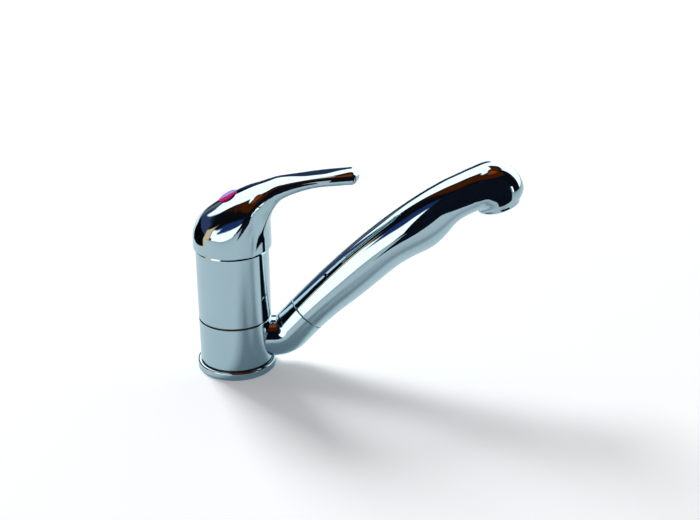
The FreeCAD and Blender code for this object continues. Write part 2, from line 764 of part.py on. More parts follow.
# The lever: a round cap under a hood that runs on into the handle
HOOD_BACK_X = "hood_radius - cap_radius"
CREST_ARC_REACH = f"(crest_x - ({HOOD_BACK_X})) / (crest_radius - hood_radius)"
CREST_CENTRE_Z = f"{CREST_TOP} - crest_radius"
HOOD_BACK_Z = (f"{CREST_CENTRE_Z} + sqrt((crest_radius - hood_radius) ^ 2"
               f" - (crest_x - ({HOOD_BACK_X})) ^ 2)")


def hood(name, radius):
    """A thick rod bent along the lever's crest, rounded at the back and carried down to the rim."""
    up = V(0, 0, 1)
    run = bend(f"{name}_run", "crest_radius - hood_radius", radius, f"asin({CREST_ARC_REACH})",
               "crest_x", CREST_CENTRE_Z, up)
    back = sphere(f"{name}_back", radius, x=HOOD_BACK_X, z=HOOD_BACK_Z)
    skirt = cylinder(f"{name}_skirt", radius, f"{HOOD_BACK_Z} - ({RIM})", x=HOOD_BACK_X, z=RIM)
    return joined(name, run, back, skirt)


HANDLE_STATIONS = (
    # distance from the axis, height above the rim, half height and half width of the handle's section
    (14.0, 27.6, 9.0, 13.0),
    (20.0, 29.6, 10.3, 12.9),
    (24.0, 33.4, 8.7, 12.2),
    (28.0, 36.0, 7.4, 11.3),
    (33.0, 38.1, 6.4, 10.4),
    (42.0, 40.6, 5.3, 9.3),
    (54.0, 42.7, 4.6, 8.8),
    (66.0, 43.6, 4.7, 8.9),
    (73.0, 43.9, 4.7, 8.6),
    (77.3, 44.2, 3.7, 6.8),
    (79.4, 44.6, 1.5, 3.2),
)


def handle():
    upright = V(0, 0, 1)
    rim = value(RIM)
    sections = []
    for distance, rise, half_height, half_width in HANDLE_STATIONS:
        sections.append(oval(V(distance, 0, rim + rise), upright, half_height, half_width))
    return solid("handle", Part.makeLoft(sections, True, False))


def lever():
    cap_height = "crest_rise + cut_overrun"
    inner_radius = "cap_radius - cap_wall"
    cap = shared("cap_outside", cylinder("cap_round", "cap_radius", cap_height, z=RIM),
                 hood("hood", "hood_radius"))
    hollow = shared("cap_hollow", cylinder("cap_hollow_round", inner_radius, cap_height, z=RIM),
                    hood("hood_hollow", "hood_radius - cap_wall"))
    boss = shared("stem_boss",
                  cylinder("boss_round", "socket_boss_radius", cap_height, z=BOSS_BOTTOM), cap)
    shell = less("lever_shell", joined("lever_outside", cap, handle()), hollow)
    side = "stem_side + 2 * stem_socket_clearance"
    socket_bottom = f"{BOSS_BOTTOM} - cut_overrun"
    socket = box("stem_socket", side, side, f"{STEM_TOP} + ring_groove_slack - ({socket_bottom})",
                 f"-({side}) / 2", f"-({side}) / 2", socket_bottom)
    screw_hole = cylinder("lever_screw_hole", "screw_radius + screw_hole_clearance", cap_height,
                          z=f"{SCREW_SEAT} - screw_head_radius")
    screw_seat = cylinder("lever_screw_seat", "screw_head_radius + screw_seat_clearance", cap_height,
                          z=SCREW_SEAT)
    recess = at_marker("marker_recess", "marker_radius + marker_clearance", "marker_depth", "marker_radius")
    return less("lever", joined("lever_solid", shell, boss), socket, screw_hole, screw_seat, recess)


def lever_screw():
    """The socket-headed screw that ties the lever to the stem."""
    shank = cylinder("screw_shank", "screw_radius", "screw_length + screw_head_height / 2",
                     z=f"{SCREW_SEAT} - screw_length")
    head = cylinder("screw_head", "screw_head_radius", "screw_head_height", z=SCREW_SEAT)
    key = doc.addObject("Part::Prism", "screw_key")
    key.Polygon = 6
    bind(key, Circumradius="hex_socket_radius", Height="screw_head_height")
    place(key, z=f"{SCREW_SEAT} + screw_head_height / 3")
    return less("lever_screw", joined("screw_solid", shank, head), key)


# The two-colour marker, square to the hood's slope
MARKER_LEAN = "asin((crest_x - marker_x) / crest_radius)"
MARKER_SURFACE_Z = f"{CREST_CENTRE_Z} + sqrt(crest_radius ^ 2 - (crest_x - marker_x) ^ 2)"


def at_marker(name, radius, depth, above):
    """A rod square to the hood at the marker, from this depth under its skin to this far above it."""
    return cylinder(name, radius, f"{depth} + {above}", x=f"marker_x + ({depth}) * sin({MARKER_LEAN})",
                    z=f"{MARKER_SURFACE_Z} - ({depth}) * cos({MARKER_LEAN})", tilt=f"-{MARKER_LEAN}")


def marker_half(name, y):
    """Half of the flat marker, which stands a little proud of the hood."""
    plug = at_marker(f"{name}_plug", "marker_radius", "marker_depth - marker_clearance", "marker_proud")
    side = box(f"{name}_side", "4 * marker_radius", "2 * marker_radius", "6 * marker_depth",
               "marker_x - 2 * marker_radius", y, f"{MARKER_SURFACE_Z} - 3 * marker_depth")
    return shared(name, plug, side)


subparts = [
    base_ring(),
    base_seal(),
    slip_ring("lower_slip_ring", "flange_height"),
    slip_ring("upper_slip_ring", COLLAR_TOP),
    swivel_ring("swivel_o_ring_lower", LOWER_RING_Z),
    swivel_ring("swivel_o_ring_upper", UPPER_RING_Z),
    valve_body(),
    cartridge_base(),
    port_seals("floor_seals", f"{SEAT} + seal_section"),
    port_seals("disc_seals", f"{DISC_SEAT} - seal_section"),
    cartridge_housing(),
    fixed_disc(),
    moving_disc(),
    disc_carrier(),
    stem_guide(),
    cross_pin("stem_pivot_pin", "pin_radius", "pin_length"),
    cartridge_stem(),
    cartridge_nut(),
    swivel_collar(),
    spout_arm(),
    spout_o_ring(),
    aerator_housing(),
    aerator_insert(),
    aerator_washer(),
    lever(),
    lever_screw(),
    marker_half("indicator_hot", "-2 * marker_radius"),
    marker_half("indicator_cold", "0"),
]

doc.recompute()
for item in doc.Objects:
    if "Invalid" in item.State or "Error" in item.State:
        raise RuntimeError(f"{item.Name} failed: {item.State}")
for piece in subparts:
    piece.Label = piece.Name
    if piece.Shape.isNull() or not piece.Shape.isValid():
        raise RuntimeError(f"{piece.Label} has no valid shape")
for piece in subparts:
    piece.Shape.exportStep(f"parts/{piece.Label}.step")
    print(f"{piece.Label}: {len(piece.Shape.Solids)} solid, {piece.Shape.Volume:.1f} mm3")
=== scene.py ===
"""The mixer tap as it looks: smooth chrome skins and their materials round the fixed frame.

Lengths are millimetres here and become metres where a mesh or an object is made.
"""
import json
import math

import bmesh
import bpy
import numpy as np
from mathutils import Matrix, Vector


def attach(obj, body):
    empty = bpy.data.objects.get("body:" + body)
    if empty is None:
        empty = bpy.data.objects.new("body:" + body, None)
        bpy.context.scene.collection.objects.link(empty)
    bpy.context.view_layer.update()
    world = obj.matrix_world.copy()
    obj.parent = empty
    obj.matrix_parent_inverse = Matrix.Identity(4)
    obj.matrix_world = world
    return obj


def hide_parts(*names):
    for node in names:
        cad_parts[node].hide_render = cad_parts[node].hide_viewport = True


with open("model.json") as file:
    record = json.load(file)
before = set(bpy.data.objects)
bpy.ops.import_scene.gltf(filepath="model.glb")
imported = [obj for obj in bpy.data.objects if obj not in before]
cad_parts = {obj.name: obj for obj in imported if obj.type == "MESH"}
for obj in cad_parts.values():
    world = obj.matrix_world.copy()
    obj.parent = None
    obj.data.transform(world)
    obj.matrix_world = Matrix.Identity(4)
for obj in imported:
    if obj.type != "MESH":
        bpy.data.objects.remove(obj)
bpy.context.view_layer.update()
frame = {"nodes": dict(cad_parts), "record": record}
MM = 0.001
SAME_POINT = 1e-7

# The tap's driving sizes, the same as in the solids; slopes and angles are in degrees
RIM = 83.4
TUBE_RADIUS = 13.0
SEAM = np.array([45.7, 0.0, 34.3])
SEAM_SLOPE = 47.5
NOSE_PIVOT = np.array([151.2, 0.0, 103.6])
NOSE_CROOK_RADIUS = 0.6
CREST_HANDLE = 40.0
NECK_ANGLE = 113.0
OUTLET_TILT = 17.0
CAP_RADIUS = 24.7
CAP_WALL = 1.2
HOOD_RADIUS = 26.0
CREST_RADIUS = 105.0
CREST_X = 47.7
CREST_TOP = 127.8
BOSS_RADIUS = 9.0
BOSS_BOTTOM = 95.0
SOCKET_SIDE = 8.1
SOCKET_TOP = 106.4
DOME = RIM + 9.0


def degrees(angle):
    """The direction at this angle above level, in the tap's middle plane."""
    return np.array([math.cos(math.radians(angle)), 0.0, math.sin(math.radians(angle))])


def natural_spline(knots, values, at):
    """A natural cubic spline through the values, or through each column of them, read at the given places."""
    knots = np.asarray(knots, float)
    values = np.asarray(values, float)
    count = len(knots)
    steps = np.diff(knots)
    system = np.eye(count)
    right = np.zeros(values.shape)
    for i in range(1, count - 1):
        system[i, i - 1:i + 2] = steps[i - 1], 2 * (steps[i - 1] + steps[i]), steps[i]
        right[i] = 6 * ((values[i + 1] - values[i]) / steps[i] - (values[i] - values[i - 1]) / steps[i - 1])
    bends = np.linalg.solve(system, right)
    at = np.clip(np.asarray(at, float), knots[0], knots[-1])
    low = np.clip(np.searchsorted(knots, at, side="right") - 1, 0, count - 2)
    shape = at.shape + (1,) * (values.ndim - 1)
    step = steps[low].reshape(shape)
    a = (knots[low + 1] - at).reshape(shape) / step
    b = (at - knots[low]).reshape(shape) / step
    curve = ((a ** 3 - a) * bends[low] + (b ** 3 - b) * bends[low + 1]) * step ** 2 / 6
    return a * values[low] + b * values[low + 1] + curve


def smooth_min(first, second, blend):
    """The smaller of the two distances, with the corner between them rounded over the blend."""
    mix = np.clip(0.5 + 0.5 * (second - first) / blend, 0, 1)
    return second * (1 - mix) + first * mix - blend * mix * (1 - mix)


def smooth_max(first, second, blend):
    return -smooth_min(-first, -second, blend)


def mesh_piece(name, rings, body, close_start=False, close_end=False):
    """A smooth skin through rows of points, each row going once round."""
    rings = np.asarray(rings)
    rows, count = rings.shape[:2]
    mesh = bpy.data.meshes.new(name)
    points = (rings.reshape(-1, 3) * MM).tolist()
    faces = []
    for row in range(rows - 1):
        for step in range(count):
            after = (step + 1) % count
            faces.append((row * count + step, row * count + after,
                          (row + 1) * count + after, (row + 1) * count + step))
    for wanted, row in ((close_start, 0), (close_end, rows - 1)):
        if wanted:
            middle = len(points)
            points.append((rings[row].mean(axis=0) * MM).tolist())
            for step in range(count):
                after = (step + 1) % count
                corners = (row * count + step, row * count + after, middle)
                faces.append(corners[::-1] if row == 0 else corners)
    mesh.from_pydata(points, [], faces)
    tidy = bmesh.new()
    tidy.from_mesh(mesh)
    bmesh.ops.remove_doubles(tidy, verts=tidy.verts, dist=SAME_POINT)
    bmesh.ops.recalc_face_normals(tidy, faces=tidy.faces)
    tidy.to_mesh(mesh)
    tidy.free()
    mesh.polygons.foreach_set("use_smooth", [True] * len(mesh.polygons))
    piece = bpy.data.objects.new(name, mesh)
    bpy.context.scene.collection.objects.link(piece)
    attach(piece, body)
    return piece


# The spout's outer skin, through the same stations as the solid's
CREST_STATIONS = (
    # share of the crest, half height and half width of the section there, fullness of its underside
    (0.00, 13.0, 13.0, 2.0),
    (0.12, 13.5, 13.1, 2.0),
    (0.25, 14.4, 13.2, 2.0),
    (0.40, 14.8, 13.3, 2.0),
    (0.52, 15.0, 13.4, 2.0),
    (0.61, 15.8, 13.5, 2.1),
    (0.68, 16.5, 13.5, 2.2),
    (0.75, 16.0, 13.5, 2.4),
    (0.81, 14.6, 13.5, 2.8),
    (0.87, 13.1, 13.5, 3.1),
    (0.93, 12.5, 13.5, 3.3),
    (1.00, 12.4, 13.6, 3.3),
)
NOSE_STATIONS = (
    # angle above level of a section hung from the nose's pivot, its half sizes and fullness
    (96.0, 13.1, 13.9, 3.1),
    (79.0, 15.0, 14.4, 2.8),
    (62.0, 16.7, 14.7, 2.4),
    (46.0, 17.1, 14.8, 2.2),
    (33.0, 16.8, 14.8, 2.0),
    (24.0, 16.0, 14.7, 2.0),
    (17.0, 14.4, 14.4, 2.0),
)
OVAL_FULLNESS = 2.0
SPOUT_ROWS = 260
SPOUT_STEPS = 112
SKIN_INSET = 0.05
SEAM_GAP = 0.4
SEAM_EDGE = 0.3
SEAM_EDGE_START = 0.8
SEAM_DEPTH = 1.2
OUTLET_EDGE = 0.9
OUTLET_BORE = 12.0
OUTLET_DEPTH = 9.0


def crest_curve(share):
    """A point on the spout's top line and the line's slope there."""
    start = SEAM + degrees(SEAM_SLOPE + 90) * TUBE_RADIUS
    depth = NOSE_CROOK_RADIUS + 2 * CREST_STATIONS[-1][1]
    end = NOSE_PIVOT + degrees(NECK_ANGLE) * depth
    first = start + degrees(SEAM_SLOPE) * CREST_HANDLE
    second = end - degrees(NECK_ANGLE - 90) * CREST_HANDLE
    rest = 1 - share
    point = (rest ** 3 * start + 3 * rest ** 2 * share * first
             + 3 * rest * share ** 2 * second + share ** 3 * end)
    way = rest ** 2 * (first - start) + 2 * rest * share * (second - first) + share ** 2 * (end - second)
    return point, math.degrees(math.atan2(way[2], way[0]))


def spout_sections():
    """Middle, upward direction, half height, half width and fullness of evenly spread sections."""
    stations = []
    for share, half_height, half_width, fullness in CREST_STATIONS:
        point, slope = crest_curve(share)
        middle = point - degrees(slope + 90) * half_height
        stations.append((middle[0], middle[2], slope + 90, half_height, half_width, fullness))
    for angle, half_height, half_width, fullness in NOSE_STATIONS:
        middle = NOSE_PIVOT + degrees(angle) * (NOSE_CROOK_RADIUS + half_height)
        stations.append((middle[0], middle[2], angle, half_height, half_width, fullness))
    stations = np.array(stations)
    tops = np.array([np.array([x, z]) + degrees(angle)[[0, 2]] * height
                     for x, z, angle, height, _, _ in stations])
    reach = np.concatenate([[0], np.cumsum(np.linalg.norm(np.diff(tops, axis=0), axis=1))])
    columns = natural_spline(reach, stations, np.linspace(0, reach[-1], SPOUT_ROWS))
    return [(np.array([x, 0, z]), degrees(angle), height - SKIN_INSET, width - SKIN_INSET, fullness)
            for x, z, angle, height, width, fullness in columns]


def section_ring(middle, up, half_height, half_width, fullness):
    """An oval whose lower half is squarer where its fullness is over 2."""
    turns = np.linspace(0, 2 * math.pi, SPOUT_STEPS, endpoint=False)
    upward, aside = np.cos(turns), np.sin(turns)
    full = np.where(upward < 0, fullness, OVAL_FULLNESS)
    swell = (np.abs(upward) ** full + np.abs(aside) ** full) ** (-1 / full)
    rise = np.outer(half_height * upward * swell, up)
    return middle + rise + np.outer(half_width * aside * swell, [0, 1, 0])


def spout_arm():
    """The skin from the groove at its seam, over the arm and the nose, to the bore in its outlet."""
    sections = spout_sections()
    rings = [section_ring(*section) for section in sections]
    middle, up, height, width, full = sections[0]
    shift = degrees(SEAM_SLOPE) * SEAM_GAP
    groove = section_ring(middle, up, height - SEAM_DEPTH, width - SEAM_DEPTH, full)
    edge = section_ring(middle + shift * SEAM_EDGE_START, up, height - SEAM_EDGE, width - SEAM_EDGE, full)
    start = [groove, edge, rings[0] + shift]
    middle, up, height, width, full = sections[-1]
    bottom = middle + degrees(OUTLET_TILT + 90) * OUTLET_DEPTH
    rim = section_ring(middle, up, height - OUTLET_EDGE, width - OUTLET_EDGE, full)
    mouth = section_ring(middle, up, OUTLET_BORE, OUTLET_BORE, full)
    deep = section_ring(bottom, up, OUTLET_BORE, OUTLET_BORE, full)
    return mesh_piece("spout_skin", start + rings[2:] + [rim, mouth, deep],
                      "spout", close_start=True, close_end=True)


# The lever's skin: the round cap, its hood and the handle, cast in one flowing piece
LEVER_STATIONS = (
    # distance from the axis, top above the rim, half height and half width of the lever's section there
    (4.0, 34.9, 28.6, 26.0),
    (9.0, 37.0, 24.0, 24.6),
    (14.0, 38.8, 17.5, 21.0),
    (19.0, 40.4, 12.4, 15.9),
    (24.0, 42.1, 9.0, 12.8),
    (28.0, 43.4, 7.5, 11.2),
    (33.0, 44.5, 6.4, 10.3),
    (42.0, 45.9, 5.3, 9.3),
    (54.0, 47.3, 4.6, 8.8),
    (66.0, 48.3, 4.7, 8.9),
    (73.0, 48.6, 4.7, 8.6),
    (77.3, 47.9, 3.7, 6.8),
    (79.4, 46.1, 1.5, 3.2),
)
LEAST_HALF = 0.3
HANDLE_START = 19.0
HANDLE_FULLNESS = 3.0

# The hood gives way to the shoulder between these distances from the axis
HOOD_END = 2.0
SHOULDER_START = 8.0

# Rounding of the edge between top and sides, which changes from the cap's to the handle's
CAP_EDGE = 1.6
HANDLE_EDGE = 0.6
EDGE_FADE_START = 22.0
EDGE_FADE = 30.0

# Rounding between the cap's wall and the handle, which grows downward over its reach
LEAST_BLEND = 4.0
MOST_BLEND = 10.0
BLEND_REACH = 8.0

# The shallow dish along the handle's top; its width is a share of the handle's
DISH_START = 27.0
DISH_END = 77.0
DISH_RAMP = 20.0
DISH_WIDTH = 0.84
DISH_DEPTH = 1.3

# The slices through the lever turn about the crook, a point below the handle
CROOK = np.array([33.0, 0.0, 100.0])
LEVER_STEPS = 144
CROWN_ROWS = 26
STEEPEST_RISE = 89
INSIDE_ROWS = 8
WALL_ROWS = 44
SHOULDER_ROWS = 84
HANDLE_ROWS = 110
TIP_CROWDING = 1.5
TIP_MARGIN = 0.1
HALVINGS = 28
CAST_REACH = 60.0
LINE_REACH = 70
LINE_STEPS = 1401

# The boss in the cap
BOSS_STEPS = 96
BOSS_EDGE = 0.4
SOCKET_EDGE = 0.3


def hood_distance(points):
    """How far outside the hood's bent rod each point lies."""
    centre = np.array([CREST_X, CREST_TOP - CREST_RADIUS])
    back_x = HOOD_RADIUS - CAP_RADIUS
    major = CREST_RADIUS - HOOD_RADIUS
    back_z = centre[1] + math.sqrt(major ** 2 - (CREST_X - back_x) ** 2)
    x, y, z = points[..., 0], points[..., 1], points[..., 2]
    from_centre = np.hypot(x - centre[0], z - centre[1])
    along = np.hypot(from_centre - major, y)
    behind = np.hypot(np.hypot(x - back_x, y), np.maximum(z - back_z, 0))
    limit_way = np.array([back_x - centre[0], back_z - centre[1]])
    ahead = (x - centre[0]) * limit_way[1] - (z - centre[1]) * limit_way[0] > 0
    return np.where(ahead, along, behind) - HOOD_RADIUS


def lever_section(x):
    """Height of the middle, half height and half width of the lever's section at x."""
    stations = np.array(LEVER_STATIONS)
    columns = natural_spline(stations[:, 0], stations[:, 1:], x)
    tops, half_heights, half_widths = (columns[..., column] for column in range(3))
    half_heights = np.maximum(half_heights, LEAST_HALF)
    return RIM + tops - half_heights, half_heights, np.maximum(half_widths, LEAST_HALF)


def step_up(share):
    """0 up to a share of 0, 1 from a share of 1, and smooth between."""
    share = np.clip(share, 0, 1)
    return share ** 2 * (3 - 2 * share)


def top_distance(points, section):
    """The surface over the whole lever: the hood, narrowing through the shoulder into the handle's top."""
    middles, half_heights, half_widths = section
    rise = np.maximum(points[..., 2] - middles, 0) / half_heights
    shoulder = (np.hypot(rise, points[..., 1] / half_widths) - 1) * np.minimum(half_heights, half_widths)
    share = step_up((points[..., 0] - HOOD_END) / (SHOULDER_START - HOOD_END))
    return hood_distance(points) * (1 - share) + shoulder * share


def wall_distance(points):
    """How far outside the cap's round wall each point lies."""
    return np.hypot(points[..., 0], points[..., 1]) - CAP_RADIUS


def under_distance(points, section):
    """The handle's sides and full underside."""
    middles, half_heights, half_widths = section
    fall = np.maximum(middles - points[..., 2], 0) / half_heights
    aside = np.abs(points[..., 1]) / half_widths
    share = (fall ** HANDLE_FULLNESS + aside ** HANDLE_FULLNESS) ** (1 / HANDLE_FULLNESS)
    around = (share - 1) * np.minimum(half_heights, half_widths)
    return np.maximum(around, HANDLE_START - points[..., 0])


def dish_depth(points, section):
    """How far the shallow dish along the handle's top lies below its rounded outline."""
    x, y, z = points[..., 0], points[..., 1], points[..., 2]
    middles, half_heights, half_widths = section
    along = np.clip((x - DISH_START) / DISH_RAMP, 0, 1) * np.clip((DISH_END - x) / DISH_RAMP, 0, 1)
    across = np.clip(1 - (y / (DISH_WIDTH * half_widths)) ** 2, 0, 1)
    return DISH_DEPTH * step_up(along) * across * (z > middles)


def lever_distance(points):
    """Wall and handle melt together more and more towards the handle's underside, below one common top."""
    section = lever_section(points[..., 0])
    raised = points + dish_depth(points, section)[..., None] * np.array([0, 0, 1.0])
    depth = step_up((section[0] - points[..., 2]) / BLEND_REACH)
    blend = LEAST_BLEND + (MOST_BLEND - LEAST_BLEND) * depth
    side = smooth_min(wall_distance(points), under_distance(points, section), blend)
    edge = CAP_EDGE + (HANDLE_EDGE - CAP_EDGE) * step_up((points[..., 0] - EDGE_FADE_START) / EDGE_FADE)
    return smooth_max(top_distance(raised, section), side, edge)


def hollow_distance(points):
    """How far outside the cap's inner surface each point lies."""
    top = top_distance(points, lever_section(points[..., 0]))
    return smooth_max(wall_distance(points), top, CAP_EDGE) + CAP_WALL


def cast_out(middles, ways, distance):
    """The skin's point along each ray, found by halving."""
    low = np.zeros(ways.shape[:-1])
    high = np.full(ways.shape[:-1], CAST_REACH)
    for _ in range(HALVINGS):
        reach = (low + high) / 2
        outside = distance(middles + ways * reach[..., None]) > 0
        high = np.where(outside, reach, high)
        low = np.where(outside, low, reach)
    return middles + ways * ((low + high) / 2)[..., None]


def halfway(away):
    """The point midway between the lever's two sides on a line away from the crook."""
    reaches = np.linspace(0, LINE_REACH, LINE_STEPS)
    inside = reaches[lever_distance(CROOK + np.outer(reaches, away)) < 0]
    return CROOK + away * (inside[0] + inside[-1]) / 2


def lever_slices():
    """Middle and forward direction of the planes that slice the lever from its rim to its tip."""
    slices = []
    for height in np.linspace(RIM, CROOK[2], WALL_ROWS):
        slices.append((np.array([0, 0, height]), np.array([1.0, 0, 0])))
    for angle in np.linspace(180, 90, SHOULDER_ROWS)[1:]:
        away = degrees(angle)
        slices.append((halfway(away), -away))
    tip = LEVER_STATIONS[-1][0] - TIP_MARGIN
    for share in np.linspace(0, 1, HANDLE_ROWS)[1:]:
        x = CROOK[0] + (tip - CROOK[0]) * (1 - (1 - share) ** TIP_CROWDING)
        slices.append((np.array([x, 0, float(lever_section(x)[0])]), np.array([0, 0, -1.0])))
    return slices


def lever():
    """The cap's inside from its crown down to the rim, then the outside from the rim to the handle's tip."""
    turns = np.linspace(0, 2 * math.pi, LEVER_STEPS, endpoint=False)
    level = np.stack([np.cos(turns), np.sin(turns), np.zeros(len(turns))], axis=1)
    dome = np.array([0, 0, DOME])
    rings = []
    for rise in np.linspace(STEEPEST_RISE, 0, CROWN_ROWS):
        ways = level * math.cos(math.radians(rise)) + [0, 0, math.sin(math.radians(rise))]
        rings.append(cast_out(np.broadcast_to(dome, ways.shape), ways, hollow_distance))
    for height in np.linspace(DOME, RIM, INSIDE_ROWS)[1:]:
        rings.append(level * (CAP_RADIUS - CAP_WALL) + [0, 0, height])
    for middle, forward in lever_slices():
        ways = np.outer(np.cos(turns), forward) + np.outer(np.sin(turns), [0, 1.0, 0])
        rings.append(cast_out(np.broadcast_to(middle, ways.shape), ways, lever_distance))
    return mesh_piece("lever_skin", rings, "lever", close_start=True, close_end=True)


def lever_boss():
    """The round boss inside the cap, with the square socket that grips the stem."""
    turns = np.linspace(0, 2 * math.pi, BOSS_STEPS, endpoint=False)
    square = SOCKET_SIDE / 2 / np.maximum(np.abs(np.cos(turns)), np.abs(np.sin(turns)))

    def row(radius, height):
        return np.stack([radius * np.cos(turns), radius * np.sin(turns), height + 0 * turns], axis=1)

    start = row(BOSS_RADIUS, DOME)
    upward = np.broadcast_to([0, 0, 1.0], start.shape)
    ceiling = cast_out(start, upward, hollow_distance)[:, 2] + CAP_WALL / 2
    rows = [row(BOSS_RADIUS, ceiling), row(BOSS_RADIUS, BOSS_BOTTOM + BOSS_EDGE),
            row(BOSS_RADIUS - BOSS_EDGE, BOSS_BOTTOM), row(square + SOCKET_EDGE, BOSS_BOTTOM),
            row(square, BOSS_BOTTOM + SOCKET_EDGE), row(square, SOCKET_TOP)]
    return mesh_piece("lever_boss", rows, "lever", close_end=True)


lever_skin = lever()
boss = lever_boss()
spout_skin = spout_arm()
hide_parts("lever")
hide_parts("spout_arm")


class Nodes:
    """Adds shader nodes in one short call each; an input is a value or another node's output."""

    def __init__(self, tree):
        self.tree = tree

    def add(self, kind, inputs=None, **settings):
        node = self.tree.nodes.new(kind)
        for name, setting in settings.items():
            setattr(node, name, setting)
        for key, given in (inputs or {}).items():
            if isinstance(given, bpy.types.NodeSocket):
                self.tree.links.new(given, node.inputs[key])
            else:
                node.inputs[key].default_value = given
        return node

    def math(self, operation, *given):
        node = self.add("ShaderNodeMath", dict(enumerate(given)), operation=operation)
        return node.outputs[0]

    def ramp(self, given, low, high, start, end, smooth=False):
        """The given number read along a slope from start, at low, to end, at high."""
        node = self.add("ShaderNodeMapRange", {0: given, 1: low, 2: high, 3: start, 4: end},
                        interpolation_type="SMOOTHSTEP" if smooth else "LINEAR")
        return node.outputs[0]

    def weighted(self, first, first_share, second, second_share):
        """The sum of the two numbers, each times its share."""
        parts = self.math("MULTIPLY", first, first_share), self.math("MULTIPLY", second, second_share)
        return self.math("ADD", *parts)

    def mixed(self, share, first, second):
        """The first colour at a share of 0, the second at 1."""
        node = self.add("ShaderNodeMix", {0: share, 6: first, 7: second}, data_type="RGBA")
        return node.outputs[2]

    def noise(self, place, scale, detail=3.0, roughness=0.5):
        node = self.add("ShaderNodeTexNoise", {"Vector": place, "Scale": scale, "Detail": detail,
                                               "Roughness": roughness})
        return node.outputs[0]

    def tool_lines(self, place, across, along, detail):
        """Noise with one scale across the axis and another along it."""
        node = self.add("ShaderNodeMapping", {"Vector": place, "Scale": (across, across, along)})
        return self.noise(node.outputs[0], scale=1.0, detail=detail)


def new_material(name):
    material = bpy.data.materials.new(name)
    material.use_nodes = True
    nodes = Nodes(material.node_tree)
    shader = material.node_tree.nodes["Principled BSDF"]
    place = nodes.add("ShaderNodeTexCoord").outputs["Object"]
    return material, nodes, shader, place


def put(nodes, given, shader, name):
    nodes.tree.links.new(given, shader.inputs[name])


def opaque(colour):
    return tuple(colour) + (1.0,)


def tinted(colour, change):
    return opaque(min(1.0, part * change) for part in colour)


def bumped(nodes, shader, height, strength, distance):
    bump = nodes.add("ShaderNodeBump", {"Height": height, "Strength": strength, "Distance": distance})
    put(nodes, bump.outputs[0], shader, "Normal")


def chrome(name, colour, ripple=0.02):
    """Bright plating: hardly any blur, faint buffing streaks, and a slow ripple from the polishing wheel."""
    material, nodes, shader, place = new_material(name)
    shader.inputs["Metallic"].default_value = 1.0
    clouds = nodes.noise(place, scale=38.0, detail=4.0)
    put(nodes, nodes.mixed(clouds, tinted(colour, 0.95), tinted(colour, 1.04)), shader, "Base Color")
    streaks = nodes.tool_lines(place, across=90.0, along=700.0, detail=2.0)
    smears = nodes.noise(place, scale=120.0, detail=5.0, roughness=0.6)
    wear = nodes.weighted(streaks, 0.4, smears, 0.6)
    put(nodes, nodes.ramp(wear, low=0.35, high=0.75, start=0.02, end=0.07), shader, "Roughness")
    bumped(nodes, shader, nodes.noise(place, scale=150.0, detail=1.0), strength=ripple, distance=0.0002)
    return material


def plastic(name, colour, roughness, depth=0.08, shine=0.5):
    """Moulded plastic: a slightly uneven colour and a fine moulded grain."""
    material, nodes, shader, place = new_material(name)
    shader.inputs["Specular IOR Level"].default_value = shine
    clouds = nodes.noise(place, scale=60.0, detail=4.0)
    speckle = nodes.noise(place, scale=900.0, detail=2.0)
    shade = nodes.weighted(clouds, 0.7, speckle, 0.3)
    put(nodes, nodes.mixed(shade, tinted(colour, 0.86), tinted(colour, 1.12)), shader, "Base Color")
    blur = nodes.ramp(speckle, low=0.3, high=0.7, start=roughness * 0.8, end=roughness * 1.25)
    put(nodes, blur, shader, "Roughness")
    bumped(nodes, shader, speckle, strength=depth, distance=0.0001)
    return material


DUST = (0.11, 0.11, 0.11)


def rubber(name, colour):
    """Moulded rubber with a dusty bloom."""
    material, nodes, shader, place = new_material(name)
    dust = nodes.noise(place, scale=140.0, detail=6.0)
    bloom = nodes.ramp(dust, low=0.45, high=0.8, start=0.0, end=1.0)
    put(nodes, nodes.mixed(bloom, opaque(colour), opaque(DUST)), shader, "Base Color")
    put(nodes, nodes.ramp(bloom, low=0.0, high=1.0, start=0.55, end=0.8), shader, "Roughness")
    bumped(nodes, shader, nodes.noise(place, scale=1400.0), strength=0.25, distance=0.0001)
    return material


def turned_metal(name, colour, roughness, grooves):
    """Turned or drawn metal: fine tool lines round the axis and a little tarnish."""
    material, nodes, shader, place = new_material(name)
    shader.inputs["Metallic"].default_value = 1.0
    tarnish = nodes.noise(place, scale=220.0, detail=5.0)
    put(nodes, nodes.mixed(tarnish, tinted(colour, 0.8), tinted(colour, 1.1)), shader, "Base Color")
    lines = nodes.tool_lines(place, across=60.0, along=grooves, detail=3.0)
    blur = nodes.ramp(lines, low=0.3, high=0.7, start=roughness * 0.75, end=roughness * 1.3)
    put(nodes, blur, shader, "Roughness")
    bumped(nodes, shader, lines, strength=0.15, distance=0.0001)
    return material


def ceramic(name, colour):
    """Lapped ceramic: nearly even, with a faint mottle in its shine."""
    material, nodes, shader, place = new_material(name)
    mottle = nodes.noise(place, scale=500.0, detail=6.0)
    put(nodes, nodes.mixed(mottle, tinted(colour, 0.93), tinted(colour, 1.04)), shader, "Base Color")
    put(nodes, nodes.ramp(mottle, low=0.3, high=0.7, start=0.12, end=0.26), shader, "Roughness")
    return material


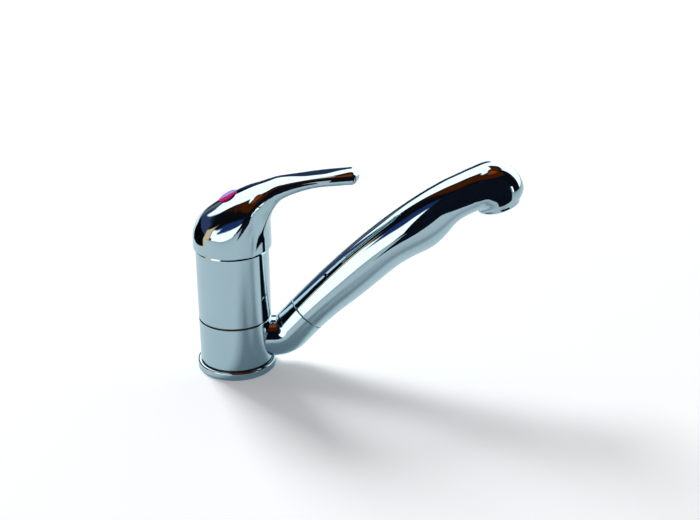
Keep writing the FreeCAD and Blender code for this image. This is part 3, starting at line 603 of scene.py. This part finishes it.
# Chrome's own grey, darkened and tinted teal: a painted reflection of the pale teal table that the plating
# mirrors
CHROME_PAINTED_TEAL = (0.42, 0.545, 0.585)
MATERIALS = {
    "body_chrome": chrome("body_chrome", CHROME_PAINTED_TEAL),
    "collar_chrome": chrome("collar_chrome", CHROME_PAINTED_TEAL),
    "lever_chrome": chrome("lever_chrome", CHROME_PAINTED_TEAL),
    "flange_chrome": chrome("flange_chrome", CHROME_PAINTED_TEAL),
    "plated_plastic": chrome("plated_plastic", CHROME_PAINTED_TEAL, ripple=0.03),
    "aerator_chrome": chrome("aerator_chrome", CHROME_PAINTED_TEAL),
    "insert_plastic": plastic("insert_plastic", (0.66, 0.69, 0.71), roughness=0.45),
    "seal_rubber": rubber("seal_rubber", (0.02, 0.02, 0.022)),
    "bearing_plastic": plastic("bearing_plastic", (0.07, 0.075, 0.08), roughness=0.4),
    "cartridge_plastic": plastic("cartridge_plastic", (0.75, 0.75, 0.7), roughness=0.42),
    "guide_plastic": plastic("guide_plastic", (0.04, 0.08, 0.32), roughness=0.4),
    "disc_ceramic": ceramic("disc_ceramic", (0.86, 0.86, 0.82)),
    "stem_steel": turned_metal("stem_steel", (0.5, 0.51, 0.53), roughness=0.3, grooves=1500.0),
    "nut_brass": turned_metal("nut_brass", (0.78, 0.52, 0.2), roughness=0.28, grooves=2500.0),
    "hot_plastic": plastic("hot_plastic", (0.55, 0.01, 0.17), roughness=0.25, depth=0.02, shine=0.12),
    "cold_plastic": plastic("cold_plastic", (0.4, 0.34, 0.8), roughness=0.25, depth=0.02, shine=0.12),
}


def dress():
    """Each solid and each skin gets its slot's finish."""
    slots = {part["node"]: part["material_slot"] for part in frame["record"]["subparts"]}
    for name, piece in frame["nodes"].items():
        piece.data.materials.clear()
        piece.data.materials.append(MATERIALS[slots[name]])
    for skin, slot in ((lever_skin, "lever_chrome"), (boss, "lever_chrome"), (spout_skin, "plated_plastic")):
        skin.data.materials.append(MATERIALS[slot])


dress()


# The studio that the plating mirrors, by direction in degrees: azimuth clockwise from straight behind
# the tap, and height above level
BRIGHT = (2.2, 2.2, 2.2)
GOLD = (1.2, 0.8, 0.45)
STUDIO = (
    # middle azimuth, half width, lowest and highest, rise per degree of azimuth, soft edge, colour
    (0, 180, 69, 95, 0.0, 4.0, (0.12, 0.022, 0.004)),
    (168, 50, 71, 95, 0.0, 4.0, (0.46, 0.07, 0.009)),
    (200, 95, 50, 67, 0.0, 5.0, (0.10, 0.018, 0.003)),
    (300, 48, 67, 79, 0.0, 2.0, BRIGHT),
    (328, 6, 0, 30, 0.0, 2.0, (0.22, 0.22, 0.25)),
    (296, 28, 0, 37, 0.0, 4.0, (0.05, 0.075, 0.18)),
    (352, 20, 27, 57, 0.0, 2.0, BRIGHT),
    (301, 11, 33, 72, -0.8, 2.0, BRIGHT),
    (329, 17, 28, 70, -0.15, 2.0, BRIGHT),
    (354, 10, -6, 25, 0.0, 1.5, (0.03, 0.05, 0.11)),
    (43, 38, 0, 60, 0.0, 2.5, BRIGHT),
    (222, 16, 26, 42, 0.0, 2.5, (0.02, 0.05, 0.18)),
    (218, 24, -20, 26, 0.1, 1.5, BRIGHT),
    (241, 7, 10, 33, 0.0, 1.5, BRIGHT),
    (259, 9, -8, 31, -0.9, 2.0, GOLD),
    (240, 30, 38, 50, 0.0, 2.0, (0.006, 0.006, 0.008)),
    (121, 3, 0, 13, 0.0, 1.0, BRIGHT),
    (132, 4, 0, 13, 0.0, 1.0, BRIGHT),
)
DARK_ROOM = (0.005, 0.007, 0.012)
AMBIENT = 0.35
HALF_TURN = 180.0
PLAIN_WHITE = (1.0, 1.0, 1.0, 1.0)


def mirrored_or_seen(nodes):
    """1 for a ray from the camera, from the plating or through something clear, 0 for one that lights."""
    ray = nodes.add("ShaderNodeLightPath")
    seen = nodes.math("MAXIMUM", ray.outputs["Is Camera Ray"], ray.outputs["Is Glossy Ray"])
    return nodes.math("MAXIMUM", seen, ray.outputs["Is Transmission Ray"])


def studio():
    """White to the camera; the plating mirrors a dark room with the patches, each over those before it."""
    world = bpy.data.worlds.new("studio")
    bpy.context.scene.world = world
    world.use_nodes = True
    nodes = Nodes(world.node_tree)
    direction = nodes.add("ShaderNodeTexCoord").outputs["Generated"]
    parts = nodes.add("ShaderNodeSeparateXYZ", {0: direction})
    azimuth = nodes.math("DEGREES", nodes.math("ARCTAN2", parts.outputs["X"], parts.outputs["Y"]))
    height = nodes.math("DEGREES", nodes.math("ARCSINE", parts.outputs["Z"]))
    mirrored = opaque(DARK_ROOM)
    for middle, half_width, lowest, highest, rise, soft, colour in STUDIO:
        aside = nodes.math("WRAP", nodes.math("SUBTRACT", azimuth, middle), HALF_TURN, -HALF_TURN)
        level = nodes.math("SUBTRACT", height, nodes.math("MULTIPLY", aside, rise))
        off_middle = nodes.math("ABSOLUTE", nodes.math("SUBTRACT", level, (lowest + highest) / 2))
        off_side = nodes.math("ABSOLUTE", aside)
        across = nodes.ramp(off_side, half_width - soft, half_width + soft, 1.0, 0.0, smooth=True)
        reach = (highest - lowest) / 2
        upright = nodes.ramp(off_middle, reach - soft, reach + soft, 1.0, 0.0, smooth=True)
        mirrored = nodes.mixed(nodes.math("MULTIPLY", across, upright), mirrored, opaque(colour))
    background = world.node_tree.nodes["Background"]
    direct = nodes.add("ShaderNodeLightPath").outputs["Is Camera Ray"]
    put(nodes, nodes.mixed(direct, mirrored, PLAIN_WHITE), background, "Color")
    strength = nodes.ramp(mirrored_or_seen(nodes), low=0.0, high=1.0, start=AMBIENT, end=1.0)
    put(nodes, strength, background, "Strength")


studio()


def area_lamp(name, place, aim, width, height, radiance):
    """A soft box of the given radiance that neither the camera nor the plating sees."""
    data = bpy.data.lights.new(name, "AREA")
    data.shape = "RECTANGLE"
    data.size = width * MM
    data.size_y = height * MM
    data.energy = radiance * math.pi * width * height * MM ** 2
    lamp = bpy.data.objects.new(name, data)
    lamp.location = Vector(place) * MM
    lamp.rotation_euler = (Vector(aim) - Vector(place)).to_track_quat("-Z", "Y").to_euler()
    lamp.visible_camera = False
    lamp.visible_glossy = False
    bpy.context.scene.collection.objects.link(lamp)


area_lamp("key_box", place=(-1800, 3140, 2830), aim=(60, 0, 0), width=1700, height=1700, radiance=24.0)


def stage_piece(name, corners):
    mesh = bpy.data.meshes.new(name)
    mesh.from_pydata([(Vector(corner) * MM)[:] for corner in corners], [], [(0, 1, 2, 3)])
    piece = bpy.data.objects.new(name, mesh)
    bpy.context.scene.collection.objects.link(piece)
    return piece


FLOOR_REACH = 40000
PAPER_DARKEST = (0.78, 0.80, 0.81)
PAPER_LIGHTEST = (0.82, 0.84, 0.85)
FLOOR_GLOW_MIRRORED = (0.1, 0.16, 0.2, 1.0)
FLOOR_GLOW_SEEN = (0.29, 0.3, 0.31, 1.0)
FLOOR_WHITE_START = 1000
FLOOR_WHITE_END = 3000


def floor():
    """A plain pale floor that keeps the tap's shadow and glows faintly, brighter to the camera.

    Far from the tap its glow to the camera grows to plain white.
    """
    far = FLOOR_REACH
    piece = stage_piece("floor", [(-far, -far, 0), (far, -far, 0), (far, far, 0), (-far, far, 0)])
    material, nodes, shader, place = new_material("floor_paper")
    fibres = nodes.noise(place, scale=400.0, detail=4.0)
    put(nodes, nodes.mixed(fibres, opaque(PAPER_DARKEST), opaque(PAPER_LIGHTEST)), shader, "Base Color")
    shader.inputs["Roughness"].default_value = 0.9
    shader.inputs["Specular IOR Level"].default_value = 0.0
    direct = nodes.add("ShaderNodeLightPath").outputs["Is Camera Ray"]
    away = nodes.add("ShaderNodeVectorMath", {0: place}, operation="LENGTH").outputs["Value"]
    share = nodes.ramp(away, low=FLOOR_WHITE_START * MM, high=FLOOR_WHITE_END * MM, start=0.0, end=1.0)
    seen = nodes.mixed(share, FLOOR_GLOW_SEEN, PLAIN_WHITE)
    put(nodes, nodes.mixed(direct, FLOOR_GLOW_MIRRORED, seen), shader, "Emission Color")
    put(nodes, mirrored_or_seen(nodes), shader, "Emission Strength")
    piece.data.materials.append(material)


floor()


VELVET_DARKEST = (0.004, 0.005, 0.010)
VELVET_LIGHTEST = (0.008, 0.010, 0.018)


def studio_card(name, start, end, bottom, top, glow=(0.0, 0.0, 0.0)):
    """An upright card of black velvet, or one that glows, that only the plating sees."""
    piece = stage_piece(name, [(*start, bottom), (*end, bottom), (*end, top), (*start, top)])
    material, nodes, shader, place = new_material(name)
    velvet = nodes.noise(place, scale=300.0, detail=3.0)
    put(nodes, nodes.mixed(velvet, opaque(VELVET_DARKEST), opaque(VELVET_LIGHTEST)), shader, "Base Color")
    shader.inputs["Roughness"].default_value = 1.0
    shader.inputs["Specular IOR Level"].default_value = 0.0
    shader.inputs["Emission Color"].default_value = opaque(glow)
    shader.inputs["Emission Strength"].default_value = 1.0
    piece.data.materials.append(material)
    piece.visible_camera = False
    piece.visible_diffuse = False
    piece.visible_shadow = False


studio_card("dark_card_front", start=(60, -300), end=(330, -300), bottom=0, top=130)
studio_card("dark_card_nose", start=(98, -45), end=(212, -45), bottom=93, top=155)
studio_card("dark_card_left", start=(-285, -18), end=(-190, 200), bottom=0, top=150)
studio_card("gold_card", start=(-286, -19), end=(-284, -62), bottom=0, top=120, glow=GOLD)


# The photograph's own viewpoint, fitted to the round edges; angles in degrees, clipping in metres
CAMERA_PLACE = (37.87, -744.09, 408.08)
CAMERA_AZIMUTH = 2.743
CAMERA_ELEVATION = 24.375
CAMERA_ROLL = -0.265
LENS = 66.857
SENSOR_WIDTH = 36
CLIP_START = 0.05
CLIP_END = 20


def camera():
    """Looks along its azimuth, clockwise from straight behind the tap, and down by its elevation."""
    angles = (CAMERA_AZIMUTH, CAMERA_ELEVATION, CAMERA_ROLL)
    azimuth, elevation, roll = (math.radians(angle) for angle in angles)
    forward = Vector((math.sin(azimuth) * math.cos(elevation), math.cos(azimuth) * math.cos(elevation),
                      -math.sin(elevation)))
    level = Vector((math.cos(azimuth), -math.sin(azimuth), 0))
    upright = level.cross(forward)
    right = level * math.cos(roll) + upright * math.sin(roll)
    up = upright * math.cos(roll) - level * math.sin(roll)
    data = bpy.data.cameras.new("camera")
    data.lens = LENS
    data.sensor_width = SENSOR_WIDTH
    data.clip_start = CLIP_START
    data.clip_end = CLIP_END
    piece = bpy.data.objects.new("camera", data)
    turn = Matrix((right, up, -forward)).transposed().to_4x4()
    piece.matrix_world = Matrix.Translation(Vector(CAMERA_PLACE) * MM) @ turn
    bpy.context.scene.collection.objects.link(piece)
    bpy.context.scene.camera = piece


camera()
bpy.context.scene.view_settings.view_transform = "Standard"
